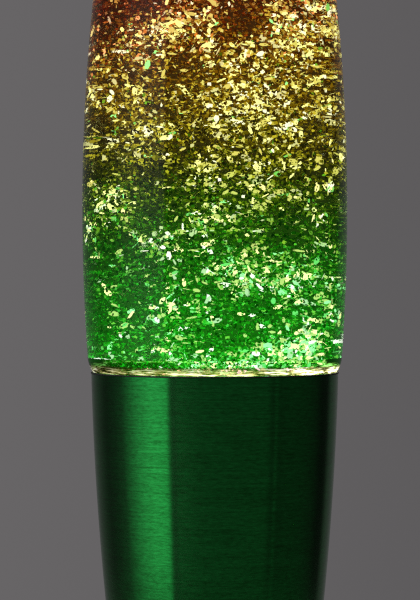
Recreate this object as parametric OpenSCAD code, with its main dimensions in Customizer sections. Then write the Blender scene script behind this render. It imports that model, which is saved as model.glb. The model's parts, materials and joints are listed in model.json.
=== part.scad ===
// Glitter lamp. A sealed glass bottle of liquid and glitter stands on a spun aluminium
// base, in which a small reflector bulb lights it from below. A spun aluminium cap hides
// the bottle's crown closure. Millimetres, +Z up. The origin is the centre of the surface
// that the rubber feet stand on.

/* [Base] */
// Height of the rim that the bottle sits on
base_h = 150; // [149:0.5:151]
// Outer radius of the rim
rim_r = 46.6; // [46.5:0.1:46.8]
// Thickness of the spun aluminium sheet
sheet_t = 0.9; // [0.8:0.05:0.95]
// Radius of the long curve of the side
base_side_bend = 1156; // [1100:10:1250]
// Height at which the side turns into the waist
waist_z = 58; // [57:0.5:59]
// Radius of the waist's hollow curve
waist_bend = 48; // [46:1:50]
// Steepest angle of the flare below the waist, from upright
flare_a = 38; // [36:1:39]
// Radius of the curve between the flare and the upright skirt
skirt_bend = 8; // [6:1:9]

/* [Bottle] */
// Largest radius of the glass
bottle_r = 50; // [49.8:0.1:50.2]
// Height at which the glass is widest
widest_z = 212; // [208:1:216]
// Radius of the long curve of the side
glass_side_bend = 771; // [740:1:800]
// Thickness of the glass wall
glass_t = 3; // [2.5:0.1:3.2]
// Height of the closed mouth
mouth_z = 389; // [388:0.5:389]
// Outer radius of the neck
neck_r = 13.3; // [13:0.1:13.4]
// Height that the liquid is filled to
fill_z = 368; // [360:1:371]
// Number of modelled glitter flakes
flakes = 110; // [60:1:120]

/* [Cap] */
// Height of the cap's open lower edge
cap_z = 343; // [342:0.5:344]
// Height at which the side turns into the rounded top
cap_side_z = 400; // [399:0.5:402]
// Radius of the curve of the cap's side
cap_side_bend = 300; // [290:5:320]
// Radius of the rounded top edge
cap_edge_bend = 6; // [5:0.5:7]

/* [Light] */
// Pitch of the small screw base's thread
thread_pitch = 2.82; // [2.82]
// Radius of the bulb where it is widest
bulb_r = 19.5; // [18.5:0.5:20]
// Height of the bulb's centre contact
bulb_z = 54.6; // [54.6]

/* [Hidden] */
$fn = 96;
gap = 0.05; // between pieces that touch on the real lamp

// Base levels and radii
shell_z = 1.5;    // lower edge of the shell
bead_r = 1.25;    // rolled bead round the lower edge
plate_z = 3;      // underside of the base plate
plate_t = 1.5;
plate_r = 50.2;
plate_top = plate_z + plate_t;
screw_r = 1.45;   // M3
head_r = 2.7;
head_t = 1.6;
clear_r = 1.7;    // clearance hole for M3
plate_screw_r = 47.8;
plate_screw_angles = [-90, 30, 150];
foot_spread_r = 38;
grommet_z = 11;
grommet_half = 4.2;
cable_r = 3.3;

// Lamp holder levels and radii
bracket_z = 20.2; // underside of the bracket's bridge
strip_t = 1.2;
bracket_half = 18;
bracket_bolt_x = 23.5;
nipple_r = 5;
nipple_bore_r = 4;
dome_z = bracket_z + strip_t + 0.6;
dome_r = 13.5;
body_z = dome_z + 18;
body_top = body_z + 34;
floor_z = body_z + 10;
floor_top = floor_z + 3;
contact_t = 0.5;
tab_x = 7.5;
ring_z = bulb_z;  // lower end of the holder's thread shell
block_y = 31;
block_x = 8;      // pitch of the terminals
block_screw_r = 1.2;
lead_z = 10;
lead_r = 1.2;

// Thread shared by the bulb's cap and the holder's shell
thread_mean_r = 6.58;
thread_wave = 0.36;
thread_gap = 0.3;
thread_t = 0.4;
thread_sides = 24;
thread_steps = 5; // rings to each pitch
thread_z = 58;
thread_turns = 5;

// Glass levels
seat_z = base_h + 0.6;  // underside of the shoulder that rests on the gasket
spigot_r = 44.4;
glass_floor_z = 138;
heel_bend = 10;
heel_z = 156;
shoulder_z = 348;
shoulder_bend = 12;
cone_a = 62;
neck_bend = 8;

// ---- Outlines ------------------------------------------------------------------------

function spot(c, r, a) = [c[0] + r * cos(a), c[1] + r * sin(a)];
// Points on a circular arc from angle a to angle b. The first is left out when skip is 1.
function arc(c, r, a, b, n, skip = 0) =
    [for (i = [skip:n]) spot(c, r, a + (b - a) * i / n)];
function reversed(points) = [for (i = [len(points) - 1:-1:0]) points[i]];

// Base: a long outward curve, a hollow waist, and a small curve into the upright skirt.
rim_lean = 1.5;
side_c = [rim_r - base_side_bend * cos(rim_lean), base_h + base_side_bend * sin(rim_lean)];
waist_a = asin((side_c[1] - waist_z) / base_side_bend);
waist_c = spot(spot(side_c, base_side_bend, -waist_a), waist_bend, -waist_a);
skirt_c = spot(spot(waist_c, waist_bend, 180 + flare_a), -skirt_bend, flare_a);
skirt_r = skirt_c[0] + skirt_bend;
// The base's outline from the rim to the lower edge, moved inwards by d.
function base_line(d) = concat(
    arc(side_c, base_side_bend - d, -rim_lean, -waist_a, 14),
    arc(waist_c, waist_bend + d, 180 - waist_a, 180 + flare_a, 12, 1),
    arc(skirt_c, skirt_bend - d, flare_a, 0, 5, 1),
    [[skirt_r - d, shell_z + bead_r]]
);

// Bottle: heel, long barrel side, shoulder, cone and neck.
glass_c = [bottle_r - glass_side_bend, widest_z];
heel_a = asin((heel_z - widest_z) / glass_side_bend);
heel_c = spot(spot(glass_c, glass_side_bend, heel_a), -heel_bend, heel_a);
seat_a = asin((seat_z - heel_c[1]) / heel_bend);
shoulder_a = asin((shoulder_z - widest_z) / glass_side_bend);
shoulder_c = spot(spot(glass_c, glass_side_bend, shoulder_a), -shoulder_bend, shoulder_a);
cone_start = spot(shoulder_c, shoulder_bend, cone_a);
cone_run = (cone_start[0] - neck_r - neck_bend * (1 - cos(cone_a))) / sin(cone_a);
neck_c = [neck_r + neck_bend, cone_start[1] + (cone_run + neck_bend * tan(cone_a)) * cos(cone_a)];
// The glass's outline from the heel, at angle from_a, up to the neck, moved inwards by d.
function glass_line(d, from_a) = concat(
    arc(heel_c, heel_bend - d, from_a, heel_a, 8),
    arc(glass_c, glass_side_bend - d, heel_a, shoulder_a, 28, 1),
    arc(shoulder_c, shoulder_bend - d, shoulder_a, cone_a, 8, 1),
    arc(neck_c, neck_bend + d, 180 + cone_a, 180, 8)
);
// The space inside the glass, moved inwards by d.
inner_r = spigot_r - glass_t - 0.4;
inner_floor_z = glass_floor_z + 4.5;
inner_heel_a = -acos((inner_r - heel_c[0]) / (heel_bend - glass_t));
function cavity_line(d) = concat(
    [[0, inner_floor_z + 1.5 + d], [26, inner_floor_z + 1.2 + d]],
    arc([inner_r - 4, inner_floor_z + 4], 4 - d, -90, 0, 5),
    glass_line(glass_t + d, inner_heel_a),
    [[neck_r - glass_t - d, mouth_z + 1], [0, mouth_z + 1]]
);

// Cap: a curved cone with a rounded top edge.
cap_lean = shoulder_a - 0.36;
cap_r = 39.95;
cap_c = spot([cap_r, cap_z], -cap_side_bend, cap_lean);
cap_end_a = asin((cap_side_z - cap_c[1]) / cap_side_bend);
cap_edge_c = spot(spot(cap_c, cap_side_bend, cap_end_a), -cap_edge_bend, cap_end_a);
function cap_line(d) = concat(
    arc(cap_c, cap_side_bend - d, cap_lean, cap_end_a, 14),
    arc(cap_edge_c, cap_edge_bend - d, cap_end_a, 90, 7, 1),
    [[0, cap_edge_c[1] + cap_edge_bend - d]]
);

// Bulb: a neck that opens like a parabola, a rounded edge and a domed front.
bulb_neck_r = 7.4;
bulb_open_z = 80;
bulb_wide_z = 112;
bulb_edge_bend = 6;
bulb_edge_c = [bulb_r - bulb_edge_bend, bulb_wide_z];
bulb_front_bend = bulb_edge_bend + bulb_edge_c[0] / cos(60);
bulb_front_c = [0, bulb_wide_z - bulb_edge_c[0] * tan(60)];
function bulb_side(d, n) = [for (i = [0:n]) [
    bulb_neck_r - d + (bulb_r - bulb_neck_r) * sqrt(i / n),
    bulb_open_z + (bulb_wide_z - bulb_open_z) * i / n
]];
function bulb_line(d) = concat(
    [[bulb_neck_r - d, bulb_z + 19.5]],
    bulb_side(d, 14),
    arc(bulb_edge_c, bulb_edge_bend - d, 0, 60, 6, 1),
    arc(bulb_front_c, bulb_front_bend - d, 60, 90, 6, 1)
);

// ---- Shared shapes -------------------------------------------------------------------

// A lathe-turned sheet between an outer line and the same line moved inwards.
module spun(outer, inner) {
    rotate_extrude()
        polygon(concat(outer, reversed(inner)));
}

module ring(r_out, r_in, h) {
    difference() {
        cylinder(r = r_out, h = h);
        translate([0, 0, -1])
            cylinder(r = r_in, h = h + 2);
    }
}

// A strip of sheet metal of width w, whose side view in X and Z is the outline.
module strip(outline, w) {
    rotate([90, 0, 0])
        linear_extrude(w, center = true)
            polygon(outline);
}

// A pan-head screw with its head's top at the origin and its shaft along -Z.
module screw(shaft_r, length, r = head_r, t = head_t) {
    translate([0, 0, -t])
        cylinder(r = r, h = t);
    translate([0, 0, -t - length])
        cylinder(r = shaft_r, h = length);
}

// A tube of radius r swept along a route of points.
function unit(v) = v / norm(v);
function heading(route, i) =
    unit(route[min(i + 1, len(route) - 1)] - route[max(i - 1, 0)]);
function ring_at(p, along, r, n) =
    let (u = unit(cross(along, [0.31, 0.17, 0.94])), v = cross(along, u))
    [for (k = [0:n - 1]) p + r * (cos(360 * k / n) * u + sin(360 * k / n) * v)];
module tube(route, r, n = 8) {
    last = len(route) - 1;
    points = [for (i = [0:last]) each ring_at(route[i], heading(route, i), r, n)];
    sides = [for (i = [0:last - 1], k = [0:n - 1]) let (k2 = (k + 1) % n)
        each [[i * n + k, i * n + k2, (i + 1) * n + k2],
              [i * n + k, (i + 1) * n + k2, (i + 1) * n + k]]];
    ends = [[for (k = [n - 1:-1:0]) k], [for (k = [0:n - 1]) last * n + k]];
    polyhedron(points, concat(sides, ends));
}
// Points on a smooth line (Catmull-Rom) through the given ones, m to each stretch.
function smooth_route(p, m) = concat(
    [for (i = [0:len(p) - 2], j = [0:m - 1]) let (
        t = j / m,
        a = p[max(i - 1, 0)],
        b = p[i],
        c = p[i + 1],
        d = p[min(i + 2, len(p) - 1)]
    ) 0.5 * (2 * b + t * (c - a) + t * t * (2 * a - 5 * b + 4 * c - d)
        + t * t * t * (3 * b - a - 3 * c + d))],
    [p[len(p) - 1]]
);

// A helically waved wall: rings whose radius follows the thread, between two levels.
function thread_r(z, a, extra) =
    thread_mean_r + extra + thread_wave * cos(360 * (z - thread_z) / thread_pitch - a);
module thread_tube(z0, z1, outer_extra, inner_extra, inner_waved) {
    rings = round((z1 - z0) / thread_pitch * thread_steps);
    n = thread_sides;
    function wall(extra, waved) = [for (i = [0:rings], k = [0:n - 1])
        let (z = z0 + (z1 - z0) * i / rings, a = 360 * k / n,
             r = waved ? thread_r(z, a, extra) : thread_mean_r + extra)
        [r * cos(a), r * sin(a), z]];
    count = (rings + 1) * n;
    function quads(base, flip) = [for (i = [0:rings - 1], k = [0:n - 1])
        let (a = base + i * n + k, b = base + i * n + (k + 1) % n)
        each flip ? [[a, b + n, b], [a, a + n, b + n]] : [[a, b, b + n], [a, b + n, a + n]]];
    function rim(i, flip) = [for (k = [0:n - 1])
        let (a = i * n + k, b = i * n + (k + 1) % n)
        each flip ? [[a, count + b, b], [a, count + a, count + b]]
                  : [[a, b, count + b], [a, count + b, count + a]]];
    polyhedron(
        concat(wall(outer_extra, true), wall(inner_extra, inner_waved)),
        [for (f = concat(quads(0, false), quads(count, true), rim(0, true), rim(rings, false)))
            reversed(f)]
    );
}

// ---- Base ----------------------------------------------------------------------------

module base_shell() {
    color([0.05, 0.42, 0.16])
        difference() {
            union() {
                spun(base_line(0), base_line(sheet_t));
                rotate_extrude()
                    translate([skirt_r, shell_z + bead_r])
                        circle(r = bead_r, $fn = 24);
            }
            // slot for the cable grommet, open at the lower edge
            translate([0, skirt_r, 0])
                grommet_neck(grommet_half + 0.1, 12, 0);
        }
}

module foot_ring() {
    color([0.06, 0.06, 0.06])
        difference() {
            translate([0, 0, plate_top])
                ring(skirt_r - sheet_t - 0.2, 45, 6);
            for (a = plate_screw_angles)
                rotate(a)
                    translate([plate_screw_r, 0, plate_top - 1])
                        cylinder(r = screw_r + gap, h = 8, $fn = 32);
            // way through for the cable
            translate([-9, 40, plate_top - 1])
                cube([18, 20, 8]);
        }
}

module base_plate() {
    color([0.10, 0.10, 0.11])
        difference() {
            translate([0, 0, plate_z])
                cylinder(r = plate_r, h = plate_t);
            for (a = plate_screw_angles)
                rotate(a)
                    translate([plate_screw_r, 0, 0])
                        cylinder(r = clear_r, h = 8, $fn = 32);
            for (x = [-bracket_bolt_x, bracket_bolt_x])
                translate([x, 0, 0])
                    cylinder(r = clear_r, h = 8, $fn = 32);
            for (x = [-block_x / 2, block_x / 2])
                translate([x, block_y, 0])
                    cylinder(r = block_screw_r + 0.1, h = 8, $fn = 32);
            // air slots
            for (a = [30:30:330])
                if (a % 180 != 0 && a != 90)
                    rotate(a)
                        translate([15, -1.5, 0])
                            cube([17, 3, 8]);
        }
}

module plate_screws() {
    color([0.75, 0.75, 0.77])
        for (a = plate_screw_angles)
            rotate(a)
                translate([plate_screw_r, 0, plate_z - head_t])
                    mirror([0, 0, 1])
                        screw(screw_r, 6.5, $fn = 32);
}

module rubber_feet() {
    color([0.08, 0.08, 0.08])
        for (a = [45:90:315])
            rotate(a)
                translate([foot_spread_r, 0, 0])
                    cylinder(r1 = 5.5, r2 = 6.5, h = plate_z, $fn = 48);
}

// Soft ring in the rim: a lip under the glass and a skirt down the inside of the shell.
module rim_gasket() {
    lip_r = rim_r + 0.15;
    skirt_out = rim_r - sheet_t - 0.35;
    inside = spigot_r + 0.3;
    color([0.05, 0.05, 0.05])
        rotate_extrude()
            polygon([
                [inside, base_h - 7], [skirt_out, base_h - 7], [skirt_out, base_h + gap],
                [lip_r, base_h + gap], [lip_r, base_h + 0.35], [lip_r - 0.15, base_h + 0.5],
                [inside, base_h + 0.5]
            ]);
}

// A square-topped block, half as wide as given, from level low up past the cable, t thick.
module grommet_neck(half, t, low) {
    translate([-half, -t / 2, low])
        cube([2 * half, t, grommet_z + half - low]);
}

// The grommet is pushed up into its slot, and the base plate keeps it there.
module cable_grommet() {
    flange = 1.15;
    color([0.05, 0.05, 0.05])
        difference() {
            union() {
                translate([0, skirt_r - sheet_t / 2, 0])
                    grommet_neck(grommet_half, sheet_t + 0.6, shell_z + 0.1);
                for (y = [skirt_r - sheet_t - 0.3 - flange, skirt_r + 0.05])
                    translate([0, y, grommet_z])
                        rotate([-90, 0, 0])
                            cylinder(r = 6.2, h = flange);
            }
            translate([0, 0, grommet_z])
                rotate([-90, 0, 0])
                    cylinder(r = cable_r, h = 80);
        }
}

// ---- Lamp holder ---------------------------------------------------------------------

module holder_bracket() {
    out = bracket_half + strip_t;
    foot = bracket_half + 10;
    color([0.72, 0.73, 0.75])
        difference() {
            strip([
                [-foot, plate_top], [-foot, plate_top + strip_t], [-out, plate_top + strip_t],
                [-out, bracket_z + strip_t], [out, bracket_z + strip_t],
                [out, plate_top + strip_t], [foot, plate_top + strip_t], [foot, plate_top],
                [bracket_half, plate_top], [bracket_half, bracket_z],
                [-bracket_half, bracket_z], [-bracket_half, plate_top]
            ], 14);
            translate([0, 0, bracket_z - 1])
                cylinder(r = nipple_r + 0.1, h = 4);
            for (x = [-bracket_bolt_x, bracket_bolt_x])
                translate([x, 0, 0])
                    cylinder(r = clear_r, h = 8, $fn = 32);
        }
}

module bracket_screws() {
    color([0.75, 0.75, 0.77])
        for (x = [-bracket_bolt_x, bracket_bolt_x])
            translate([x, 0, plate_z - head_t])
                mirror([0, 0, 1])
                    screw(screw_r, 7.2, $fn = 32);
}

module hex_nut(across_r, bore_r, h) {
    difference() {
        cylinder(r = across_r, h = h, $fn = 6);
        translate([0, 0, -1])
            cylinder(r = bore_r, h = h + 2, $fn = 32);
    }
}

lug_t = 0.6;
module bracket_nuts() {
    color([0.75, 0.75, 0.77]) {
        translate([-bracket_bolt_x, 0, plate_top + strip_t])
            hex_nut(3.1, screw_r + gap, 2.4);
        translate([bracket_bolt_x, 0, plate_top + strip_t + lug_t])
            hex_nut(3.1, screw_r + gap, 2.4);
    }
}

module holder_nipple() {
    color([0.80, 0.66, 0.30])
        translate([0, 0, bracket_z - 4.2])
            ring(nipple_r, nipple_bore_r, 14);
}

module nipple_nut() {
    color([0.80, 0.66, 0.30])
        translate([0, 0, bracket_z - 3.2])
            hex_nut(8.1, nipple_r + gap, 3.2, $fn = 48);
}

module lock_washer() {
    color([0.72, 0.73, 0.75])
        translate([0, 0, bracket_z + strip_t])
            difference() {
                ring(8, nipple_r + 0.1, 0.6);
                // split
                translate([4, -0.4, -1])
                    cube([6, 0.8, 3]);
            }
}

module holder_dome() {
    bore = nipple_r + gap;
    color([0.12, 0.11, 0.10])
        rotate_extrude()
            polygon(concat(
                [[bore, dome_z], [8, dome_z], [8, dome_z + 4.5]],
                arc([8.5, body_z - 7], 5, -60, 0, 5),
                [[dome_r, body_z], [dome_r - 2, body_z], [dome_r - 2, body_z - 6],
                 [6.5, dome_z + 7.5], [bore, dome_z + 6.5]]
            ));
}

module holder_body() {
    spigot = dome_r - 2.2;
    color([0.12, 0.11, 0.10])
        difference() {
            union() {
                translate([0, 0, body_z])
                    cylinder(r = dome_r, h = body_top - body_z);
                translate([0, 0, body_z - 3.5])
                    cylinder(r = spigot, h = 5);
            }
            // terminal chamber
            translate([0, 0, body_z - 5])
                cylinder(r = 9.8, h = floor_z - body_z + 5);
            // socket
            translate([0, 0, floor_top])
                cylinder(r = 8.5, h = 40);
            translate([0, 0, body_top - 2])
                cylinder(r1 = 8.5, r2 = 10, h = 3);
            // slots for the two contacts
            for (x = [-tab_x - contact_t - 0.1, tab_x - 0.1])
                translate([x, -2.6, floor_z - 1])
                    cube([contact_t + 0.2, 5.2, 6]);
        }
}

module holder_thread_shell() {
    color([0.85, 0.66, 0.28])
        thread_tube(ring_z, ring_z + 6 * thread_pitch, thread_gap + thread_t, thread_gap, true);
}

module centre_contact() {
    rise = bulb_z - 0.1;
    color([0.85, 0.66, 0.28])
        difference() {
            strip([
                [tab_x, body_z + 2], [tab_x + contact_t, body_z + 2],
                [tab_x + contact_t, floor_top + 0.4], [3.2, floor_top + 0.4],
                [0.8, rise], [-2.2, rise], [-2.2, rise - 0.4], [0.6, rise - 0.4],
                [3.1, floor_top], [tab_x, floor_top]
            ], 5);
            terminal_hole();
        }
}

module side_contact() {
    color([0.85, 0.66, 0.28])
        difference() {
            strip([
                [-tab_x - contact_t, body_z + 2], [-tab_x - contact_t, ring_z],
                [-5.6, ring_z], [-5.6, ring_z - 0.5], [-tab_x, ring_z - 0.5],
                [-tab_x, body_z + 2]
            ], 4);
            terminal_hole();
        }
}

terminal_z = floor_z - 3.2;
module terminal_hole() {
    translate([0, 0, terminal_z])
        rotate([0, 90, 0])
            cylinder(r = 1.1, h = 30, center = true, $fn = 24);
}

module holder_terminal_screws() {
    color([0.85, 0.66, 0.28])
        for (side = [-1, 1])
            translate([side * 9.3, 0, terminal_z])
                rotate([0, side * 90, 0])
                    screw(1, 2.8, 1.9, 1.2, $fn = 24);
}

// ---- Terminals and leads -------------------------------------------------------------

module terminal_block() {
    color([0.85, 0.83, 0.78])
        difference() {
            translate([-13, block_y - 7, plate_top])
                cube([26, 14, 12]);
            for (x = [-block_x, 0, block_x])
                translate([x, block_y, lead_z]) {
                    rotate([90, 0, 0])
                        cylinder(r = 2.1, h = 20, center = true, $fn = 32);
                    cylinder(r = 1.6, h = 10, $fn = 32);
                }
            for (x = [-block_x / 2, block_x / 2])
                translate([x, block_y, 0])
                    cylinder(r = block_screw_r + gap, h = 12.6, $fn = 32);
            // grooves between the poles
            for (x = [-block_x / 2, block_x / 2])
                translate([x - 0.6, block_y - 8, plate_top + 9])
                    cube([1.2, 16, 5]);
        }
}

module terminal_clamps() {
    color([0.85, 0.66, 0.28])
        for (x = [-block_x, 0, block_x])
            translate([x, block_y, lead_z])
                rotate([90, 0, 0])
                    translate([0, 0, -6])
                        ring(2, lead_r + gap, 12, $fn = 32);
}

// The two screws from below that hold the block on the plate.
module block_screws() {
    color([0.75, 0.75, 0.77])
        for (x = [-block_x / 2, block_x / 2])
            translate([x, block_y, plate_z - 1.3])
                mirror([0, 0, 1])
                    screw(block_screw_r, 9, 2.2, 1.3, $fn = 32);
}

module clamp_screws() {
    color([0.75, 0.75, 0.77])
        for (x = [-block_x, 0, block_x])
            translate([x, block_y, plate_top + 11])
                difference() {
                    translate([0, 0, lead_z + 2.1 - plate_top - 11])
                        cylinder(r = 1.5, h = plate_top + 8.9 - lead_z, $fn = 24);
                    translate([-2, -0.3, -0.6])
                        cube([4, 0.6, 2]);
                }
}

// The two supply leads rise through the hollow nipple to the holder's terminals.
live_route = [
    [-8, 26, 10], [-8, 18, 10], [-6.5, 12, 9.6], [-4, 6.5, 9.6], [-2.4, 2.2, 11.5],
    [-1.6, 0, 15.5], [-1.6, 0, 22], [-1.6, 0, 30], [-3, 0, 34], [-5.2, 0, 38], [-6, 0, 44]
];
neutral_route = [
    [0, 26, 10], [0.3, 18, 10], [1.6, 12, 9.8], [2.6, 7, 9.8], [2.4, 2.6, 11.5],
    [1.6, 0, 15.5], [1.6, 0, 22], [1.6, 0, 30], [3, 0, 34], [5.2, 0, 38], [6, 0, 44]
];
earth_route = [
    [8, 26, 10], [8, 20, 10], [9.5, 17.5, 9.8], [13, 17, 9.2], [17, 18.6, 8.5],
    [20.6, 19, 7.9], [23, 17.2, 7.7], [23.5, 14, 7.7], [23.5, 9, 7.7]
];

module live_lead() {
    color([0.35, 0.20, 0.10])
        tube(smooth_route(live_route, 3), lead_r);
}

module neutral_lead() {
    color([0.10, 0.25, 0.60])
        tube(smooth_route(neutral_route, 3), lead_r);
}

module earth_lead() {
    color([0.45, 0.60, 0.10])
        tube(smooth_route(earth_route, 3), lead_r);
}

// Ring lug on the bracket's bolt, with a crimped barrel for the earth lead.
module earth_lug() {
    lug_z = plate_top + strip_t;
    color([0.75, 0.75, 0.77])
        translate([bracket_bolt_x, 0, lug_z])
            difference() {
                union() {
                    cylinder(r = 3.2, h = lug_t, $fn = 48);
                    translate([-1.5, 2, 0])
                        cube([3, 7, lug_t]);
                    translate([0, 8, 7.7 - lug_z])
                        rotate([-90, 0, 0])
                            cylinder(r = 2, h = 5, $fn = 32);
                }
                translate([0, 0, -1])
                    cylinder(r = clear_r, h = 4, $fn = 32);
                translate([0, 7, 7.7 - lug_z])
                    rotate([-90, 0, 0])
                        cylinder(r = lead_r + gap, h = 8, $fn = 32);
            }
}

// ---- Bulb ----------------------------------------------------------------------------

module bulb_contact() {
    color([0.78, 0.78, 0.80])
        rotate_extrude()
            polygon([[0, bulb_z], [1.8, bulb_z], [2.6, bulb_z + 0.6], [2.6, bulb_z + 1.4],
                     [0, bulb_z + 1.4]]);
}

module bulb_insulator() {
    z = bulb_z + 1.4 + gap;
    color([0.05, 0.05, 0.07])
        rotate_extrude()
            polygon([[0, z], [3, z], [5.4, z + 2], [5.4, z + 3], [0, z + 3]]);
}

module bulb_screw_cap() {
    top = thread_z + thread_turns * thread_pitch;
    color([0.80, 0.80, 0.78]) {
        thread_tube(thread_z - 0.6, top, 0, -1.1, false);
        translate([0, 0, top])
            rotate_extrude()
                polygon([[5.6, 0], [6.9, 0], [8.5, 1.6], [8.5, 5], [8.1, 5], [8.1, 2], [5.6, 0.5]]);
    }
}

module bulb_envelope() {
    color([0.95, 0.95, 0.92, 0.5])
        spun(bulb_line(0), bulb_line(0.8));
}

module bulb_mirror() {
    color([0.85, 0.85, 0.88])
        spun(bulb_side(0.85, 14), bulb_side(1.05, 14));
}

module bulb_stem() {
    color([0.9, 0.95, 0.95, 0.5])
        rotate_extrude()
            polygon([[0, 76], [5.6, 76], [5.6, 77], [2.2, 81], [2.2, 90], [1.4, 92], [0, 92]]);
}

module filament_posts() {
    color([0.6, 0.6, 0.62])
        for (side = [-1, 1])
            tube([[side * 1.1, 0, 92], [side * 1.6, 0, 96], [side * 5, 0, 102]], 0.35, 8);
}

module filament() {
    color([0.3, 0.3, 0.32])
        tube([for (i = [0:16]) [-4.6 + 9.2 * i / 16, 2.6 * sin(180 * i / 16), 102.7]], 0.35, 6);
}

// ---- Bottle --------------------------------------------------------------------------

module bottle() {
    color([0.55, 0.85, 0.45, 0.4])
        difference() {
            rotate_extrude()
                polygon(concat(
                    [[0, glass_floor_z + 1.5], [30, glass_floor_z + 1.5], [33, glass_floor_z]],
                    arc([spigot_r - 4, glass_floor_z + 4], 4, -90, 0, 5),
                    [[spigot_r, seat_z]],
                    glass_line(0, seat_a),
                    [[neck_r, 378], [neck_r + 0.9, 379], [neck_r + 0.9, 381], [neck_r, 382],
                     [neck_r, mouth_z], [0, mouth_z]]
                ));
            rotate_extrude()
                polygon(cavity_line(0));
        }
}

module liquid() {
    color([0.30, 0.75, 0.35, 0.4])
        rotate_extrude()
            intersection() {
                polygon(cavity_line(gap));
                square([60, fill_z]);
            }
}

// Square foil flakes spread through the liquid on a golden-angle spiral.
module glitter_flakes() {
    low = inner_floor_z + 8;
    side = 1.6;
    color([0.95, 0.90, 0.55])
        for (i = [0:flakes - 1]) {
            z = low + (shoulder_z - low) * (i + 0.5) / flakes;
            wall_r = glass_c[0] + sqrt(pow(glass_side_bend, 2) - pow(z - widest_z, 2)) - glass_t;
            r = (min(wall_r, inner_r + max(0, z - low)) - 3) * sqrt(((i * 0.381966) % 1));
            rotate(i * 137.508)
                translate([r, 0, z])
                    rotate([i * 47 % 180, i * 71 % 180, i * 113 % 180])
                        cube([side, side, 0.12], center = true);
        }
}

// Pressed crown closure: a disc with a fluted skirt.
module crown_closure() {
    flutes = 21;
    steps = 6 * flutes;
    top = mouth_z + 0.95;
    metal = 0.35;
    function fluted(r) = [for (i = [0:steps - 1]) let (a = 360 * i / steps)
        [(r + 0.5 * cos(flutes * a)) * cos(a), (r + 0.5 * cos(flutes * a)) * sin(a)]];
    color([0.75, 0.68, 0.40])
        difference() {
            translate([0, 0, top - 6])
                linear_extrude(6)
                    polygon(fluted(14.45 + metal));
            translate([0, 0, top - 7])
                linear_extrude(7 - metal)
                    polygon(fluted(14.45));
        }
}

module crown_liner() {
    color([0.85, 0.85, 0.82])
        translate([0, 0, mouth_z])
            cylinder(r = neck_r - 0.2, h = 0.6);
}

// ---- Cap -----------------------------------------------------------------------------

module top_cap() {
    color([0.05, 0.42, 0.16])
        spun(cap_line(0), cap_line(sheet_t));
}

// Moulded insert in the cap. Its collar fits over the crown and keeps the cap upright.
module cap_insert() {
    seat = mouth_z + 1.05;
    color([0.08, 0.08, 0.08])
        translate([0, 0, seat]) {
            cylinder(r1 = 26.7, r2 = 25.85, h = 2.5);
            translate([0, 0, -5.6])
                ring(18.6, 16.2, 5.6);
        }
}

base_shell();
foot_ring();
base_plate();
plate_screws();
rubber_feet();
rim_gasket();
cable_grommet();
holder_bracket();
bracket_screws();
bracket_nuts();
holder_nipple();
nipple_nut();
lock_washer();
holder_dome();
holder_body();
holder_thread_shell();
centre_contact();
side_contact();
holder_terminal_screws();
terminal_block();
terminal_clamps();
clamp_screws();
block_screws();
live_lead();
neutral_lead();
earth_lead();
earth_lug();
bulb_contact();
bulb_insulator();
bulb_screw_cap();
bulb_envelope();
bulb_mirror();
bulb_stem();
filament_posts();
filament();
bottle();
liquid();
glitter_flakes();
crown_closure();
crown_liner();
top_cap();
cap_insert();
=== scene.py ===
"""Looks for the glitter lamp: a glass bottle of liquid and foil flakes on a spun metal base."""

import json
import math

import bmesh
import bpy
import numpy as np
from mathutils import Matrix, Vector


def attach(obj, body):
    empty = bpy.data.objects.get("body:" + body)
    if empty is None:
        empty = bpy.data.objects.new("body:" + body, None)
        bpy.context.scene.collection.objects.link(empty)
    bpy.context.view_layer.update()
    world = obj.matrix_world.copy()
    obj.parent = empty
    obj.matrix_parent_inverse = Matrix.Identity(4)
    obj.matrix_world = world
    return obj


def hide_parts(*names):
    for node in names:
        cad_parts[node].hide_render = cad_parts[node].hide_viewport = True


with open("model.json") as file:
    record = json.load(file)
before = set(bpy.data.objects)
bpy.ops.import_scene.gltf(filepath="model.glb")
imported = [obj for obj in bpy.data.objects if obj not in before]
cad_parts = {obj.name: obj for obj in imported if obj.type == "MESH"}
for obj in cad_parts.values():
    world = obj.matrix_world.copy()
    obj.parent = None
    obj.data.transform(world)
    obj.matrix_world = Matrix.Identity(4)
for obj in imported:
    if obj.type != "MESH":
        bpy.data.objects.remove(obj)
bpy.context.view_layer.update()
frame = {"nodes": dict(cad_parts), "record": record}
scene = bpy.context.scene
rng = np.random.default_rng(2041)

MM_PER_M = 1000


def set_up_cycles():
    """Bounces enough to see through both walls of the bottle. Caustics are off: they only made specks."""
    scene.view_settings.view_transform = "Standard"
    cycles = scene.cycles
    cycles.max_bounces = 14
    cycles.transmission_bounces = 12
    cycles.glossy_bounces = 4
    cycles.diffuse_bounces = 3
    cycles.transparent_max_bounces = 16
    cycles.sample_clamp_indirect = 4.0
    cycles.use_denoising = False
    cycles.filter_width = 1.3
    cycles.caustics_refractive = False
    cycles.caustics_reflective = False


# ---- Lamp outlines, in millimetres, as in the CAD. Angles are in degrees. ----


def spot(c, r, a):
    """The point at angle a on the circle of radius r round c."""
    return (c[0] + r * math.cos(math.radians(a)), c[1] + r * math.sin(math.radians(a)))


def arc(c, r, a, b, n, skip=0):
    """The circle round c from angle a to angle b in n steps, without its first points if skip says so."""
    return [spot(c, r, a + (b - a) * i / n) for i in range(skip, n + 1)]


def angle(sine):
    return math.degrees(math.asin(sine))


# The base's open rim, the thickness of its sheet, and its side: a long curve, a waist and a rounded skirt.
RIM_R, RIM_Z, SHEET = 46.6, 150.0, 0.9
SIDE_BEND, SIDE_LEAN = 1156.0, 1.5
WAIST_TOP, WAIST_BEND, FLARE = 58.0, 48.0, 38.0
SKIRT_BEND = 8.0
# The rolled lower edge of the base.
EDGE_C, EDGE_BEND = (52.115, 2.75), 1.25


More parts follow.
